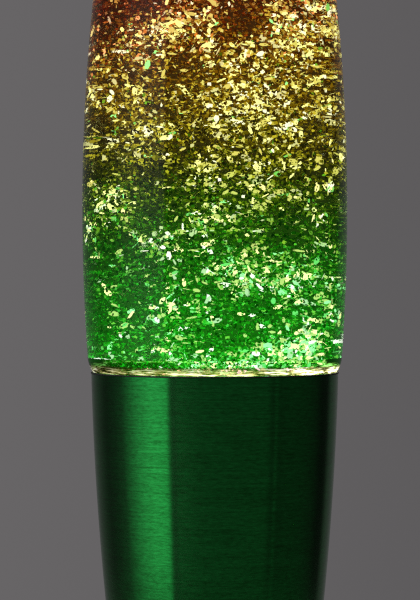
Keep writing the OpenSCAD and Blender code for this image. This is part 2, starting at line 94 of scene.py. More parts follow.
def base_line(d):
    """The base's side from the rim down to the foot of the skirt, moved inwards by d."""
    side = (
        RIM_R - SIDE_BEND * math.cos(math.radians(SIDE_LEAN)),
        RIM_Z + SIDE_BEND * math.sin(math.radians(SIDE_LEAN)),
    )
    turn = angle((side[1] - WAIST_TOP) / SIDE_BEND)
    waist = spot(spot(side, SIDE_BEND, -turn), WAIST_BEND, -turn)
    skirt = spot(spot(waist, WAIST_BEND, 180 + FLARE), -SKIRT_BEND, FLARE)
    return (
        arc(side, SIDE_BEND - d, -SIDE_LEAN, -turn, 40)
        + arc(waist, WAIST_BEND + d, 180 - turn, 180 + FLARE, 26, 1)
        + arc(skirt, SKIRT_BEND - d, FLARE, 0, 10, 1)
    )


# The bottle's side is one long curve, with a tight heel below it and a shoulder, cone and neck above it.
WIDEST_R, WIDEST_Z, GLASS_BEND = 50.0, 212.0, 771.0
GLASS_C = (WIDEST_R - GLASS_BEND, WIDEST_Z)
HEEL_TOP, HEEL_BEND = 156.0, 10.0
HEEL_A = angle((HEEL_TOP - WIDEST_Z) / GLASS_BEND)
HEEL_C = spot(spot(GLASS_C, GLASS_BEND, HEEL_A), -HEEL_BEND, HEEL_A)
SHOULDER_START, SHOULDER_BEND = 348.0, 12.0
SHOULDER_A = angle((SHOULDER_START - WIDEST_Z) / GLASS_BEND)
SHOULDER_C = spot(spot(GLASS_C, GLASS_BEND, SHOULDER_A), -SHOULDER_BEND, SHOULDER_A)
CONE_A = 62.0
NECK_R, NECK_BEND = 13.3, 8.0
WALL = 3.0
# The bottle rests on the gasket at SEAT_Z. Its clear edge ends at RING_TOP, and the liquid at FILL_Z.
SEAT_Z, RING_TOP = 150.6, 153.4
FILL_Z, MOUTH_Z = 368.0, 389.0
# The spigot below the seat, and the cavity's floor and its rounded corner.
SPIGOT_R, SPIGOT_Z, SPIGOT_BEND = 44.4, 138.0, 4.0
INNER_R, FLOOR_Z, FLOOR_BEND = 41.0, 142.5, 4.0


def glass_line(d, from_a):
    """The glass's side from its heel up to its neck, moved inwards by d."""
    start = spot(SHOULDER_C, SHOULDER_BEND, CONE_A)
    cone = math.radians(CONE_A)
    run = (start[0] - NECK_R - NECK_BEND * (1 - math.cos(cone))) / math.sin(cone)
    neck = (NECK_R + NECK_BEND, start[1] + (run + NECK_BEND * math.tan(cone)) * math.cos(cone))
    return (
        arc(HEEL_C, HEEL_BEND - d, from_a, HEEL_A, 16)
        + arc(GLASS_C, GLASS_BEND - d, HEEL_A, SHOULDER_A, 90, 1)
        + arc(SHOULDER_C, SHOULDER_BEND - d, SHOULDER_A, CONE_A, 16, 1)
        + arc(neck, NECK_BEND + d, 180 + CONE_A, 180, 14)
    )


def cavity_line():
    """The inside of the glass, from the middle of its slightly domed floor up to the mouth."""
    heel = -math.degrees(math.acos((INNER_R - HEEL_C[0]) / (HEEL_BEND - WALL)))
    return (
        [(0.0, FLOOR_Z + 1.5), (26.0, FLOOR_Z + 1.2)]
        + arc((INNER_R - FLOOR_BEND, FLOOR_Z + FLOOR_BEND), FLOOR_BEND, -90, 0, 8)
        + glass_line(WALL, heel)
        + [(NECK_R - WALL, MOUTH_Z)]
    )


def underside_line():
    """The bottle from the middle of its hollowed underside out to the side of the spigot."""
    corner = (SPIGOT_R - SPIGOT_BEND, SPIGOT_Z + SPIGOT_BEND)
    hollow = [(0.0, SPIGOT_Z + 1.5), (30.0, SPIGOT_Z + 1.5), (33.0, SPIGOT_Z)]
    return hollow + arc(corner, SPIGOT_BEND, -90, 0, 10)


def mouth_line():
    """The bead round the neck that holds the closure, and the rounded lip of the mouth."""
    bead = NECK_R + 0.9
    return [
        (NECK_R, 378.0),
        (bead, 379.0),
        (bead, 381.0),
        (NECK_R, 382.0),
        (NECK_R, MOUTH_Z - 0.6),
        (NECK_R - 0.6, MOUTH_Z),
        (NECK_R - WALL + 0.6, MOUTH_Z),
        (NECK_R - WALL, MOUTH_Z - 0.6),
    ]


# The cap's open edge, the long curve of its side, and the rounding at its top.
CAP_EDGE, CAP_BEND = (39.95, 343.0), 300.0
CAP_TOP_START, CAP_TOP_BEND = 400.0, 6.0


def cap_line(d):
    """The cap's side from its open edge up over the rounded top, moved inwards by d."""
    lean = SHOULDER_A - 0.36
    side = spot(CAP_EDGE, -CAP_BEND, lean)
    end = angle((CAP_TOP_START - side[1]) / CAP_BEND)
    top = spot(spot(side, CAP_BEND, end), -CAP_TOP_BEND, end)
    return (
        arc(side, CAP_BEND - d, lean, end, 36)
        + arc(top, CAP_TOP_BEND - d, end, 90, 14, 1)
        + [(0.0, top[1] + CAP_TOP_BEND - d)]
    )


# ---- Mesh helpers ----


def add_object(name, mesh, body):
    obj = bpy.data.objects.new(name, mesh)
    scene.collection.objects.link(obj)
    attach(obj, body)
    return obj


def ring_of(bm, r, z, turns):
    """The corners of one ring of a turned mesh, or one shared corner where the ring is a point."""
    z /= MM_PER_M
    if r < 1e-4:
        return [bm.verts.new((0, 0, z))] * turns
    r /= MM_PER_M
    steps = [2 * math.pi * k / turns for k in range(turns)]
    return [bm.verts.new((r * math.sin(a), r * math.cos(a), z)) for a in steps]


def lathe(name, line, materials, turns=192, sharp=32.0):
    """A turned mesh. Each point of the closed loop line is (radius, height, slot of the stretch after it)."""
    bm = bmesh.new()
    rings = [ring_of(bm, r, z, turns) for r, z, _ in line]
    for i, (_, _, index) in enumerate(line):
        a, b = rings[i], rings[(i + 1) % len(rings)]
        if a[0] is a[1] and b[0] is b[1]:
            continue
        for k in range(turns):
            corners = []
            for v in (a[k], a[(k + 1) % turns], b[(k + 1) % turns], b[k]):
                if v not in corners:
                    corners.append(v)
            bm.faces.new(corners).material_index = index
    bmesh.ops.recalc_face_normals(bm, faces=bm.faces)
    mesh = bpy.data.meshes.new(name)
    bm.to_mesh(mesh)
    bm.free()
    mesh.polygons.foreach_set("use_smooth", [True] * len(mesh.polygons))
    mesh.set_sharp_from_angle(angle=math.radians(sharp))
    for material in materials:
        mesh.materials.append(material)
    return mesh


def shell_loop(outer, inner):
    """A closed loop for lathe(): the outer line and the open edge in slot 0, the inner line in slot 1."""
    loop = [(r, z, 0) for r, z in outer]
    loop += [(r, z, 1) for r, z in inner[:0:-1]]
    return loop + [(*inner[0], 0)]


# ---- Material helpers ----


def new_material(name):
    mat = bpy.data.materials.new(name)
    mat.use_nodes = True
    tree = mat.node_tree
    tree.nodes.clear()
    out = tree.nodes.new("ShaderNodeOutputMaterial")
    shader = tree.nodes.new("ShaderNodeBsdfPrincipled")
    tree.links.new(shader.outputs[0], out.inputs["Surface"])
    return mat, tree, shader


def node(tree, kind, links=(), **values):
    """A new node. links gives (input, source socket or value), and values the node's own settings."""
    made = tree.nodes.new(kind)
    for key, value in values.items():
        setattr(made, key, value)
    for socket, source in links:
        if hasattr(source, "is_output"):
            tree.links.new(source, made.inputs[socket])
        else:
            made.inputs[socket].default_value = source
    return made


def object_place(tree):
    """Where a point lies in the piece's own coordinates, which are the frame's, in metres."""
    return node(tree, "ShaderNodeTexCoord").outputs["Object"]


def split(tree, vector):
    return node(tree, "ShaderNodeSeparateXYZ", [("Vector", vector)]).outputs


def noise(tree, scale, detail=3.0, rough=0.5):
    """Noise of a size given by scale, its features per metre along X, Y and Z."""
    links = [("Vector", object_place(tree)), ("Scale", scale)]
    place = node(tree, "ShaderNodeMapping", links).outputs[0]
    links = [("Vector", place), ("Scale", 1.0), ("Detail", detail), ("Roughness", rough)]
    return node(tree, "ShaderNodeTexNoise", links).outputs["Fac"]


def ramp(tree, source, stops):
    """A colour for each value of source, run together from stop to stop."""
    made = node(tree, "ShaderNodeValToRGB", [("Fac", source)])
    elements = made.color_ramp.elements
    while len(elements) < len(stops):
        elements.new(0.5)
    for element, (at, colour) in zip(elements, sorted(stops)):
        element.position = at
        element.color = (*colour, 1.0)
    return made.outputs["Color"]


def spread(tree, source, low, high, to_low, to_high):
    """The range low to high of source, laid over to_low to to_high and held there beyond it."""
    links = [("Value", source), ("From Min", low), ("From Max", high)]
    links += [("To Min", to_low), ("To Max", to_high)]
    return node(tree, "ShaderNodeMapRange", links).outputs["Result"]


def math_node(tree, operation, a, b=0.0):
    return node(tree, "ShaderNodeMath", [(0, a), (1, b)], operation=operation).outputs[0]


def mixed_colour(tree, share, a, b):
    """Colour a where share is 0, and colour b where it is 1. Inputs 6 and 7 are the node's two colours."""
    links = [("Factor", share), (6, a), (7, b)]
    return node(tree, "ShaderNodeMix", links, data_type="RGBA").outputs[2]


def set_values(shader, **values):
    for key, value in values.items():
        shader.inputs[key.replace("_", " ")].default_value = value


def link(tree, source, shader, socket):
    tree.links.new(source, shader.inputs[socket])


def dent(tree, shader, height, strength, depth):
    """Bumps of a depth in metres."""
    links = [("Height", height), ("Strength", strength), ("Distance", depth)]
    link(tree, node(tree, "ShaderNodeBump", links).outputs[0], shader, "Normal")


def grained(name, colour, metal, rough, scale=(900, 900, 900), vary=0.12, bump=0.1):
    """A plain finish with fine grain: its colour, roughness and surface vary a little."""
    mat, tree, shader = new_material(name)
    set_values(shader, Metallic=metal)
    grain = noise(tree, scale)
    dark = tuple(c * (1 - vary) for c in colour)
    light = tuple(min(1.0, c * (1 + vary)) for c in colour)
    link(tree, ramp(tree, grain, [(0.3, dark), (0.7, light)]), shader, "Base Color")
    link(tree, spread(tree, grain, 0.3, 0.7, rough * 0.85, rough * 1.15), shader, "Roughness")
    dent(tree, shader, grain, bump, 0.00004)
    return mat


# ---- Spun metal of the base and cap ----


def brushed(name, dark, light, rough, bump, coat):
    """Metal brushed round its axis: streaks run along the circumference, so light spreads up and down."""
    mat, tree, shader = new_material(name)
    set_values(shader, Metallic=1.0, Anisotropic=0.75, Anisotropic_Rotation=0.25)
    set_values(shader, Coat_Weight=coat, Coat_Roughness=0.5)
    fine = noise(tree, (450, 450, 1900), 3.0, 0.75)
    long_ones = noise(tree, (60, 60, 1300), 3.0, 0.7)
    weighed = [math_node(tree, "MULTIPLY", part, share) for part, share in ((fine, 0.6), (long_ones, 0.4))]
    grain = math_node(tree, "ADD", *weighed)
    link(tree, ramp(tree, grain, [(0.36, dark), (0.64, light)]), shader, "Base Color")
    link(tree, spread(tree, grain, 0.35, 0.65, rough * 1.2, rough * 0.85), shader, "Roughness")
    round_axis = node(tree, "ShaderNodeTangent", direction_type="RADIAL", axis="Z")
    link(tree, round_axis.outputs[0], shader, "Tangent")
    dent(tree, shader, fine, bump, 0.00003)
    return mat


def cut_cable_slot(piece):
    """The square slot for the cable grommet, up from the lower edge at the back."""
    place, size = (0, 0.0521, 0.00765), (0.0086, 0.012, 0.0153)
    bpy.ops.mesh.primitive_cube_add(size=1, location=place, scale=size)
    drill = bpy.context.object
    cut = piece.modifiers.new("cable_hole", "BOOLEAN")
    cut.operation = "DIFFERENCE"
    cut.solver = "EXACT"
    cut.object = drill
    bpy.context.view_layer.update()
    finished = piece.evaluated_get(bpy.context.evaluated_depsgraph_get())
    drilled = bpy.data.meshes.new_from_object(finished)
    piece.modifiers.clear()
    piece.data = drilled
    bpy.data.objects.remove(drill)


def make_base(metals):
    rim = [(RIM_R - 0.25, RIM_Z), (RIM_R - 0.07, RIM_Z - 0.07)]
    outer = rim + base_line(0)[1:] + arc(EDGE_C, EDGE_BEND, 90, -90, 12)
    inner = [(RIM_R - SHEET + 0.1, RIM_Z)] + base_line(SHEET)[1:] + arc(EDGE_C, EDGE_BEND, 150, 270, 8)[:-1]
    mesh = lathe("spun_base", shell_loop(outer, inner), metals)
    spun_base = add_object("spun_base", mesh, "base")
    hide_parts("base_shell")
    cut_cable_slot(spun_base)


def make_cap(metals):
    mesh = lathe("spun_cap", shell_loop(cap_line(0), cap_line(SHEET)), metals)
    spun_cap = add_object("spun_cap", mesh, "cap")
    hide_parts("top_cap")


# ---- Glass ----

GLASS_IOR, LIQUID_IOR = 1.5, 1.33
# The heel is bent so tightly that full refraction would draw the flakes behind it out into bars.
HEEL_IOR = 1.08

# Heights in metres, with what the finish lets through there, and how foil behind it looks on a screen,
# from 0 to 255: out of the light, lit, gleaming and flashing.
ZONES = (
    (0.150, (0.27, 0.95, 0.25), (0, 74, 0), (30, 178, 34), (100, 222, 84), (240, 255, 214)),
    (0.175, (0.29, 0.84, 0.23), (0, 62, 0), (32, 158, 32), (110, 218, 88), (240, 255, 211)),
    (0.192, (0.35, 0.71, 0.21), (2, 52, 0), (42, 138, 26), (128, 206, 84), (240, 255, 206)),
    (0.207, (0.44, 0.59, 0.21), (10, 38, 0), (64, 116, 16), (146, 190, 66), (242, 253, 194)),
    (0.228, (0.62, 0.51, 0.21), (24, 26, 0), (98, 98, 12), (190, 186, 54), (250, 250, 182)),
    (0.250, (0.85, 0.55, 0.23), (50, 30, 0), (132, 102, 14), (216, 190, 62), (255, 248, 180)),
    (0.272, (0.88, 0.46, 0.23), (62, 24, 0), (138, 86, 20), (218, 182, 74), (255, 242, 178)),
    (0.290, (0.85, 0.33, 0.23), (66, 17, 0), (128, 64, 28), (206, 150, 84), (252, 222, 162)),
    (0.315, (0.82, 0.24, 0.21), (60, 11, 0), (120, 44, 26), (196, 110, 72), (250, 195, 140)),
    (0.343, (0.80, 0.18, 0.19), (54, 6, 0), (112, 36, 24), (186, 92, 60), (245, 170, 120)),
)
# The bands of colour are not level: each metre to the lamp's right adds this much to the height that counts,
# at and below the first of these heights in metres, and at and above the second.
LEAN = ((0.235, 0.03), (0.280, -0.22))


def graded(tree, colours):
    """A colour for each of the finish's zones, run together from zone to zone."""
    sides = split(tree, object_place(tree))
    (low_z, low_lean), (high_z, high_lean) = LEAN
    slope = spread(tree, sides["Z"], low_z, high_z, low_lean, high_lean)
    leaning = math_node(tree, "ADD", sides["Z"], math_node(tree, "MULTIPLY", sides["X"], slope))
    wander = spread(tree, noise(tree, (24, 24, 34), 2.0), 0.2, 0.8, -0.005, 0.005)
    height = math_node(tree, "ADD", leaning, wander)
    low, high = ZONES[0][0], ZONES[-1][0]
    stops = [((zone[0] - low) / (high - low), colour) for zone, colour in zip(ZONES, colours)]
    return ramp(tree, spread(tree, height, low, high, 0.0, 1.0), stops)


def lacquered_glass(name, ior):
    """Glass with a transparent finish graded by height: green, then yellow, then red near the top."""
    mat, tree, shader = new_material(name)
    set_values(shader, Transmission_Weight=1.0, Roughness=0.0, IOR=ior)
    set_values(shader, Specular_Tint=(0.2, 0.2, 0.2, 1.0))
    # each face of the glass takes the square root of its base colour
    squares = [tuple(c * c for c in zone[1]) for zone in ZONES]
    link(tree, graded(tree, squares), shader, "Base Color")
    # faint upright ridges, as drawn glass has
    dent(tree, shader, noise(tree, (420, 420, 9), 2.0), 0.25, 0.0001)
    return mat


def clear_glass(name, ior, dull, bright):
    """Glass with no finish, its faint tint a little uneven."""
    mat, tree, shader = new_material(name)
    set_values(shader, Transmission_Weight=1.0, Roughness=0.0, IOR=ior)
    wavy = noise(tree, (60, 60, 90), 2.0)
    link(tree, ramp(tree, wavy, [(0.3, dull), (0.7, bright)]), shader, "Base Color")
    return mat


def ring_brightness(tree):
    """How brightly the ring shines from place to place: most at its foot, and towards the lamp's right."""
    sides = split(tree, object_place(tree))
    upward = spread(tree, sides["Z"], SEAT_Z / MM_PER_M + 0.0004, RING_TOP / MM_PER_M, 1.0, 0.0)
    across = spread(tree, sides["X"], -0.045, 0.045, 0.0, 1.0)
    stops = ((0.0, 0.08), (0.45, 0.27), (0.78, 0.3), (0.86, 1.0), (0.93, 0.35))
    sideways = ramp(tree, across, [(at, (share,) * 3) for at, share in stops])
    return math_node(tree, "MULTIPLY", upward, math_node(tree, "MULTIPLY", sideways, 5.0))


def glowing_ring():
    """The clear lower edge of the glass, which carries the bulb's light round to its foot in thin streaks."""
    mat, tree, shader = new_material("glowing_ring")
    set_values(shader, Transmission_Weight=1.0, Roughness=0.03, IOR=HEEL_IOR)
    set_values(shader, Base_Color=(0.05, 0.16, 0.02, 1.0))
    streaks = spread(tree, noise(tree, (150, 150, 2300), 4.0, 0.7), 0.44, 0.60, 0.0, 1.0)
    patches = spread(tree, noise(tree, (70, 70, 70), 2.0), 0.3, 0.7, 0.5, 1.5)
    amount = math_node(tree, "MULTIPLY", streaks, patches)
    dim, middling = (0.12, 0.14, 0.01), (0.55, 0.52, 0.10)
    bright, brightest = (0.96, 0.92, 0.45), (1.0, 0.97, 0.78)
    colour = ramp(tree, amount, [(0.0, dim), (0.3, middling), (0.6, bright), (1.0, brightest)])
    link(tree, colour, shader, "Emission Color")
    strength = spread(tree, amount, 0.0, 1.0, 0.15, 2.2)
    strength = math_node(tree, "MULTIPLY", strength, ring_brightness(tree))
    link(tree, strength, shader, "Emission Strength")
    mat.cycles.emission_sampling = "FRONT"
    return mat


# The bottle's material slots.
LACQUERED, PLAIN, WETTED, RING, HEEL = range(5)
# The finish ends on the neck.
FINISH_TOP = 372.0


def outside_slot(z):
    """Which glass the bottle's outer side is, at a height and just above it."""
    if z < RING_TOP:
        return RING
    if z < HEEL_TOP - 0.1:
        return HEEL
    if z < FINISH_TOP:
        return LACQUERED
    return PLAIN


def make_bottle():
    heel_start = angle((SEAT_Z - HEEL_C[1]) / HEEL_BEND)
    loop = [(r, z, LACQUERED) for r, z in underside_line()]
    loop += [(r, z, outside_slot(z)) for r, z in glass_line(0.0, heel_start)]
    loop += [(r, z, PLAIN) for r, z in mouth_line()]
    # the inner face meets the liquid as far up as the filling, and bends light less there
    inside = cavity_line()[:-1]
    loop += [(r, z, WETTED if z <= FILL_Z else PLAIN) for r, z in reversed(inside)]
    glasses = (
        lacquered_glass("lacquered_glass", GLASS_IOR),
        clear_glass("plain_glass", GLASS_IOR, (0.90, 0.96, 0.91), (0.95, 0.99, 0.95)),
        clear_glass("wetted_glass", GLASS_IOR / LIQUID_IOR, (0.96, 0.99, 0.96), (0.99, 1.0, 0.99)),
        glowing_ring(),
        lacquered_glass("lacquered_heel", HEEL_IOR),
    )
    mesh = lathe("glass_bottle", loop, glasses)
    glass_bottle = add_object("glass_bottle", mesh, "bottle")
    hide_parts("bottle")


# ---- Foil flakes ----

# How bright each kind of flake is: 0 out of the light, 1 lit, 1.5 gleaming, 2 and more flashing.
LEVELS = (0.0, 0.35, 0.75, 1.0, 1.25, 1.5, 1.8, 3.0)
# How lucky a flake has to be to catch the light at each level, as steps on a bell curve.
CHANCES = (-0.8, -0.1, 0.45, 0.8, 1.1, 1.5, 1.95)
# Flakes of this level and brighter may be large.
LARGE_LEVEL = 6
# Foil that leans to gold, to green, to rose or to silver.
TINTS = ((1.04, 0.99, 0.6), (0.32, 1.0, 0.5), (1.2, 0.5, 0.35), (1.0, 1.0, 1.22))
GOLD, GREEN, ROSE, SILVER = range(4)
# The liquid's height is cut into this many bands, each with its own flake colours.
BANDS = 20
# Heights in millimetres, and how much more or less light the bulb's beam gives there.
BEAM = ((148, 0.3), (160, -0.15), (190, -0.38), (215, -0.3), (245, 0.0), (265, -0.05), (300, -0.15))
# Places tried for a flake. Those too near the glass, and many where the clouds are thin, stay empty.
TRIES = 125000
# How sharply screens brighten from dark to light.
SCREEN_GAMMA = 2.2


def band_height(band):
    """The middle of a band, in metres."""
    low, high = FLOOR_Z / MM_PER_M, FILL_Z / MM_PER_M
    return low + (high - low) * (band + 0.5) / BANDS


def mixed(a, b, share):
    return tuple(p + (q - p) * share for p, q in zip(a, b))


def flake_look(height, level):
    """What the lacquer lets through at a height, and the light of a flake of that level seen through it."""
    z = min(max(height, ZONES[0][0]), ZONES[-1][0])
    above = next(i for i in range(1, len(ZONES)) if z <= ZONES[i][0])
    low, high = ZONES[above - 1], ZONES[above]
    share = (z - low[0]) / (high[0] - low[0])
    through, *shades = (mixed(a, b, share) for a, b in zip(low[1:], high[1:]))
    # out of the light and lit lie a whole level apart, the next shades half a level
    step = min(level, 1) + 2 * min(max(level - 1, 0), 1)
    below = min(int(step), 2)
    shade = mixed(shades[below], shades[below + 1], step - below)
    gain = max(level / 2, 1)
    return through, tuple(gain * (c / 255) ** SCREEN_GAMMA for c in shade)


def flake_material(band, level, tint):
    """Metal foil that gives off the light it mirrors, made up for what the lacquer will take."""
    mat, _, shader = new_material(f"foil_{band}_{level}_{tint}")
    through, look = flake_look(band_height(band), LEVELS[level])
    light = [c / t * lean for c, t, lean in zip(look, through, TINTS[tint])]
    most = max(light)
    # flakes out of the light also get a near black foil colour: painted shade
    metal = (0.10, 0.095, 0.07, 1.0) if level else (0.02, 0.02, 0.015, 1.0)
    set_values(shader, Metallic=1.0, Roughness=0.3, Base_Color=metal)
    set_values(shader, Emission_Color=(*(c / most for c in light), 1.0), Emission_Strength=most)
    mat.cycles.emission_sampling = "NONE"
    return mat


def clouds(points, step):
    """Smooth random clouds, step millimetres apart, in a box that holds the bottle."""
    corner_place, box_size = (-55, -55, 135), (110, 110, 240)
    grid = rng.normal(size=[int(size / step) + 2 for size in box_size])
    place = (points - corner_place) / step
    corner = place.astype(int)
    share = place - corner
    share = share * share * (3 - 2 * share)
    total = np.zeros(len(points))
    for i, j, k in np.ndindex(2, 2, 2):
        weight = np.abs(np.array((1 - i, 1 - j, 1 - k)) - share).prod(1)
        total += weight * grid[corner[:, 0] + i, corner[:, 1] + j, corner[:, 2] + k]
    return total


def chance(share, count):
    """True for that share of count flakes, at random."""
    return rng.uniform(0, 1, count) < share


def scattered():
    """Places for the flakes all through the liquid, their distances from its axis, and drifting clouds."""
    z = rng.uniform(FLOOR_Z + 3.2, FILL_Z - 2.0, TRIES)
    r = (WIDEST_R - WALL) * np.sqrt(rng.uniform(0, 1, TRIES))
    turn = rng.uniform(0, 2 * math.pi, TRIES)
    centre = np.stack([r * np.cos(turn), r * np.sin(turn), z], 1)
    cloud = 1.2 * clouds(centre, 13) + 0.8 * clouds(centre, 6)
    wall = sorted((z, r) for r, z in cavity_line() if z < FILL_Z)
    kept = r < np.interp(z, *zip(*wall)) - 1.3
    kept &= chance(np.clip(0.55 + 0.25 * cloud, 0.2, 1.0), TRIES)
    return centre[kept], r[kept], cloud[kept]


def flake_kinds(centre, r, cloud):
    """Each flake's band of the finish, its level of light, which is less near the wall, and its tint."""
    x, z = centre[:, 0], centre[:, 2]
    count = len(z)
    shadow = np.interp(z, (200, 270), (0.9, 0.5)) * np.clip((r - 30) / 14, 0, 1)
    beam = 0.03 - shadow + 0.005 * x + np.interp(z, *zip(*BEAM))
    level = np.searchsorted(CHANCES, 0.85 * rng.normal(0, 1, count) + 0.75 * cloud + beam)
    behind = z + x * np.interp(z / MM_PER_M, *zip(*LEAN))
    band = np.clip(((behind - FLOOR_Z) / (FILL_Z - FLOOR_Z) * BANDS).astype(int), 0, BANDS - 1)
    rose = chance(np.clip((behind - 262) / 110, 0, 0.6), count)
    green = chance(np.interp(z, (160, 230), (0.32, 0.03)), count)
    silver = chance(0.3, count)
    tint = np.where(rose, ROSE, np.where(green, GREEN, np.where(silver, SILVER, GOLD)))
    return band, level, tint


def unit(vectors):
    return vectors / np.linalg.norm(vectors, axis=1)[:, None]


def flake_axes(z, level):
    """Each flake's two half axes, and whether it is large. Some lie flatter, and some are slivers."""
    count = len(z)
    normal = rng.normal(size=(count, 3))
    normal[:, 2] *= np.where(chance(0.3, count), 1.6, 1.0)
    normal = unit(normal)
    along = unit(np.cross(normal, rng.normal(size=(count, 3))))
    across = np.cross(normal, along)
    large = (level >= LARGE_LEVEL) & chance(np.interp(z, (160, 280), (0.95, 0.3)), count)
    large_half = rng.uniform(0.9, 2.0, count)
    small_half = rng.uniform(0.37, 0.77, count) * (1 + 0.04 * level)
    half = np.where(large, large_half, small_half)
    sliver = chance(0.35, count)
    thin = np.where(sliver, rng.uniform(0.25, 0.6, count), np.where(large, 0.55, 1.0))
    return along * half[:, None], across * (half * thin)[:, None], large


def flake_outlines(centre, along, across, sides):
    """The corners of flakes with that many sides, one after another."""
    turns = 2 * math.pi * (np.arange(sides) + 0.5) / sides
    reach = np.cos(turns)[:, None] * along[:, None] + np.sin(turns)[:, None] * across[:, None]
    return (centre[:, None] + reach).reshape(-1, 3)


def flake_mesh():
    """All the flakes as one mesh: four-sided ones first, then the large ones, which have six sides."""
    centre, r, cloud = scattered()
    band, level, tint = flake_kinds(centre, r, cloud)
    along, across, large = flake_axes(centre[:, 2], level)
    groups = ((np.flatnonzero(~large), 4), (np.flatnonzero(large), 6))
    corners = np.concatenate(
        [flake_outlines(centre[some], along[some], across[some], sides) for some, sides in groups]
    )
    order = np.concatenate([some for some, _ in groups])
    sides = np.concatenate([np.full(len(some), sides) for some, sides in groups])
    mesh = bpy.data.meshes.new("foil_flakes")
    mesh.vertices.add(len(corners))
    mesh.vertices.foreach_set("co", (corners / MM_PER_M).ravel())
    mesh.loops.add(len(corners))
    mesh.loops.foreach_set("vertex_index", np.arange(len(corners)))
    mesh.polygons.add(len(order))
    mesh.polygons.foreach_set("loop_start", np.cumsum(sides) - sides)
    mesh.update(calc_edges=True)
    every = np.stack([band, level, tint], 1)[order]
    kinds, kind = np.unique(every, axis=0, return_inverse=True)
    mesh.polygons.foreach_set("material_index", kind.ravel())
    for one in kinds:
        mesh.materials.append(flake_material(*(int(i) for i in one)))
    mesh.validate()
    return mesh


def make_flakes():
    """The flakes give no light to other pieces and don't show in reflections, which would only sparkle."""
    foil_flakes = add_object("foil_flakes", flake_mesh(), "bottle")
    foil_flakes.visible_glossy = False
    foil_flakes.visible_diffuse = False
    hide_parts("glitter_flakes")


# ---- Finishes of the CAD parts ----


def clear_liquid():
    """It bends no light, because the bottle's inner face does. Its lower part gives off a painted green glow,
    standing in for the bulb's light scattered by very fine specks of foil.
    """
    mat, tree, shader = new_material("clear_liquid")
    tree.nodes.remove(shader)
    out = tree.nodes["Material Output"]
    clear = node(tree, "ShaderNodeBsdfTransparent", [("Color", (0.98, 1.0, 0.97, 1.0))])
    link(tree, clear.outputs[0], out, "Surface")
    height = split(tree, object_place(tree))["Z"]
    glow = spread(tree, height, 0.165, 0.230, 1.25, 0.15)
    # painted glow, bright low in the liquid and fading upwards, standing in for bulb light on the foil specks
    painted_glow = node(tree, "ShaderNodeEmission", [("Color", (0.14, 1.0, 0.06, 1.0)), ("Strength", glow)])
    link(tree, painted_glow.outputs[0], out, "Volume")
    mat.cycles.emission_sampling = "NONE"
    return mat


def bulb_glass():
    """Frosted glass, lit from within above the mirror's edge."""
    mat, tree, shader = new_material("bulb_glass")
    set_values(shader, Transmission_Weight=0.8, Roughness=0.35, IOR=GLASS_IOR)
    set_values(shader, Base_Color=(0.95, 0.93, 0.88, 1.0), Emission_Strength=1.6)
    height = spread(tree, split(tree, object_place(tree))["Z"], 0.106, 0.118, 0.0, 1.0)
    warm = ramp(tree, height, [(0.0, (0.02, 0.01, 0.003)), (1.0, (1.0, 0.72, 0.36))])
    link(tree, warm, shader, "Emission Color")
    return mat


def hot_tungsten():
    mat, _, shader = new_material("hot_tungsten")
    set_values(shader, Metallic=1.0, Roughness=0.4)
    set_values(shader, Emission_Color=(1.0, 0.62, 0.25, 1.0), Emission_Strength=12.0)
    return mat


# Each slot's colour, whether it is metal, its roughness, and what else differs from a plain grained finish.
GRAINED = {
    "black_rubber": ((0.018, 0.018, 0.019), 0.0, 0.62, {"bump": 0.25}),
    "black_plastic": ((0.022, 0.022, 0.023), 0.0, 0.42, {"scale": (2600, 2600, 2600), "bump": 0.3}),
    "zinc_steel": ((0.60, 0.62, 0.66), 1.0, 0.3, {"scale": (300, 300, 300), "vary": 0.1, "bump": 0.05}),
    "brass": ((0.74, 0.50, 0.20), 1.0, 0.26, {"scale": (500, 500, 900), "bump": 0.08}),
    "black_paint": ((0.025, 0.025, 0.027), 0.0, 0.35, {"scale": (1800, 1800, 1800), "bump": 0.25}),
    "brown_moulding": ((0.035, 0.018, 0.010), 0.0, 0.22, {"scale": (700, 700, 700), "vary": 0.2}),
    "ivory_plastic": ((0.72, 0.67, 0.54), 0.0, 0.4, {"vary": 0.05}),
    "brown_lead": ((0.13, 0.05, 0.02), 0.0, 0.4, {}),
    "blue_lead": ((0.02, 0.08, 0.42), 0.0, 0.4, {}),
    "green_yellow_lead": ((0.30, 0.42, 0.03), 0.0, 0.4, {}),
    "solder": ((0.62, 0.62, 0.64), 1.0, 0.35, {}),
    "black_glass": ((0.02, 0.02, 0.03), 0.0, 0.12, {}),
    "bright_aluminium": ((0.78, 0.78, 0.79), 1.0, 0.3, {"scale": (400, 400, 900)}),
    "bulb_mirror": ((0.90, 0.90, 0.92), 1.0, 0.08, {"vary": 0.03, "bump": 0.02}),
    "nickel_wire": ((0.60, 0.58, 0.54), 1.0, 0.3, {}),
    "tinplate": ((0.62, 0.52, 0.26), 1.0, 0.28, {"scale": (300, 300, 300), "vary": 0.15}),
    "pale_liner": ((0.75, 0.74, 0.70), 0.0, 0.5, {}),
}


def finish_cad_parts():
    """Give each CAD part that still shows the finish of its slot."""
    finishes = {slot: grained(slot, *look[:3], **look[3]) for slot, look in GRAINED.items()}
    finishes["tinted_liquid"] = clear_liquid()
    finishes["bulb_glass"] = bulb_glass()
    finishes["hot_tungsten"] = hot_tungsten()
    slot_of = {part["node"]: part["material_slot"] for part in frame["record"]["subparts"]}
    for name, obj in frame["nodes"].items():
        if slot_of[name] in finishes:
            for place in obj.material_slots:
                place.material = finishes[slot_of[name]]
            obj.data.polygons.foreach_set("use_smooth", [True] * len(obj.data.polygons))


# ---- Studio ----


